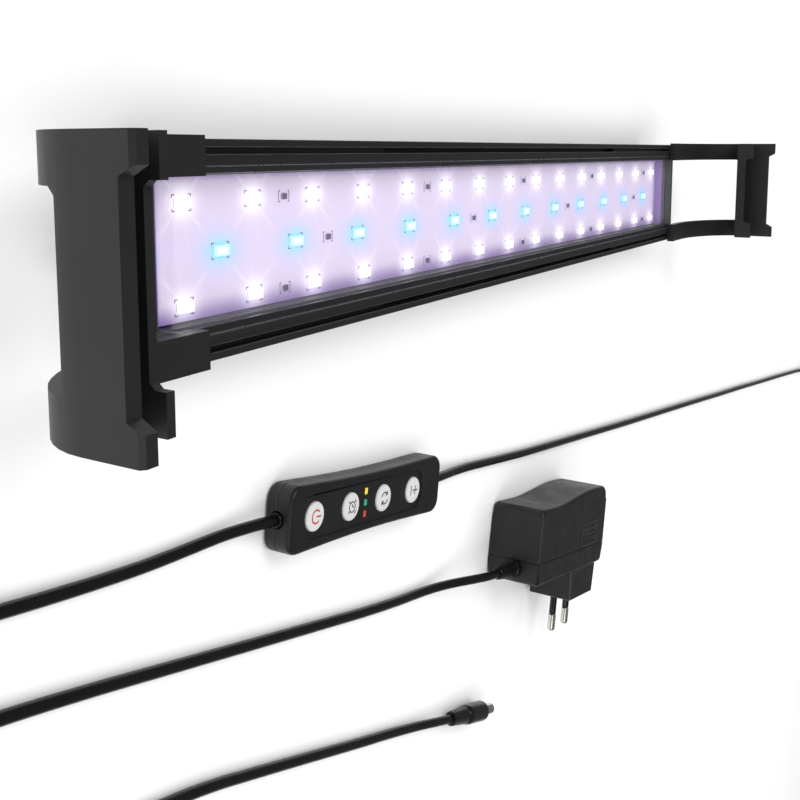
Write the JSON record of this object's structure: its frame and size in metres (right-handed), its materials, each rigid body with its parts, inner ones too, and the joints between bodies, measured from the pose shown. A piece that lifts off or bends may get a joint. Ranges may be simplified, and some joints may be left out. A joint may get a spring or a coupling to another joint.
{
  "type": "aquarium light",
  "caption": "Slim LED light bar for an aquarium with two sliding black tank brackets, an in-line button controller on its lead, and a plug-in power supply with a barrel plug.",
  "frame": {"origin": "on the resting surface under the middle of the light, on the back face of its housing", "axes": "+X along the light, away from the end with the power inlet; +Z out of the LED face"},
  "size_m": [1.3273, 0.2949, 0.0736],
  "materials": {
    "anodised_aluminium": "satin black anodised",
    "bracket_plastic": "satin",
    "cap_plastic": "satin",
    "screw_steel": "satin",
    "board_white": "white solder mask",
    "led_white": "lit white",
    "led_blue": "lit blue",
    "thermal_pad": "matte",
    "clear_sheet": "clear",
    "case_black": "fine texture",
    "button_white": "gloss",
    "lamp_yellow": "clear colour",
    "lamp_green": "clear colour",
    "lamp_red": "clear colour",
    "board_green": "solder mask",
    "transformer": "taped winding",
    "cord_black": "gloss PVC",
    "nickel": "plated"
  },
  "bodies": {
    "light": {"blue_led_row": "led_blue", "cap_screw_left_lower": "screw_steel", "cap_screw_left_upper": "screw_steel", "cap_screw_right_lower": "screw_steel", "cap_screw_right_upper": "screw_steel", "controller_base": "case_black", "controller_board": "board_green", "controller_bush_in": "case_black", "controller_bush_out": "case_black", "controller_cover": "case_black", "end_cap_left": "cap_plastic", "end_cap_right": "cap_plastic", "front_sheet": "clear_sheet", "housing": "anodised_aluminium", "indicator_green": "lamp_green", "indicator_red": "lamp_red", "indicator_yellow": "lamp_yellow", "inlet_boss": "cap_plastic", "inlet_jack": "nickel", "lamp_lead": "cord_black", "lamp_plug_barrel": "nickel", "lamp_plug_body": "case_black", "lead_socket_body": "case_black", "lead_socket_pin": "nickel", "led_board": "board_white", "plug_block": "case_black", "plug_pin_left": "nickel", "plug_pin_right": "nickel", "plug_pin_sleeve_left": "case_black", "plug_pin_sleeve_right": "case_black", "supply_base": "case_black", "supply_board": "board_green", "supply_cord_back": "cord_black", "supply_cord_coil": "cord_black", "supply_cord_out": "cord_black", "supply_cover": "case_black", "supply_lead": "cord_black", "supply_plug_barrel": "nickel", "supply_plug_body": "case_black", "supply_relief": "cord_black", "supply_transformer": "transformer", "thermal_pad": "thermal_pad", "white_led_row_lower": "led_white", "white_led_row_upper": "led_white"},
    "left_bracket": {"left_bracket": "bracket_plastic"},
    "right_bracket": {"right_bracket": "bracket_plastic"},
    "power_button": {"power_button": "button_white"},
    "timer_button": {"timer_button": "button_white"},
    "mode_button": {"mode_button": "button_white"},
    "level_button": {"level_button": "button_white"}
  },
  "joints": [
    {"name": "left_bracket_slide", "type": "slide", "parent": "light", "child": "left_bracket", "axis": [-1, 0, 0], "range_m": [0, 0.085]},
    {"name": "right_bracket_slide", "type": "slide", "parent": "light", "child": "right_bracket", "axis": [1, 0, 0], "range_m": [0, 0.085]},
    {"name": "power_button_press", "type": "slide", "parent": "light", "child": "power_button", "axis": [0, 0, -1], "range_m": [0, 0.0008], "stiffness_N_per_m": 300},
    {"name": "timer_button_press", "type": "slide", "parent": "light", "child": "timer_button", "axis": [0, 0, -1], "range_m": [0, 0.0008], "stiffness_N_per_m": 300},
    {"name": "mode_button_press", "type": "slide", "parent": "light", "child": "mode_button", "axis": [0, 0, -1], "range_m": [0, 0.0008], "stiffness_N_per_m": 300},
    {"name": "level_button_press", "type": "slide", "parent": "light", "child": "level_button", "axis": [0, 0, -1], "range_m": [0, 0.0008], "stiffness_N_per_m": 300}
  ]
}
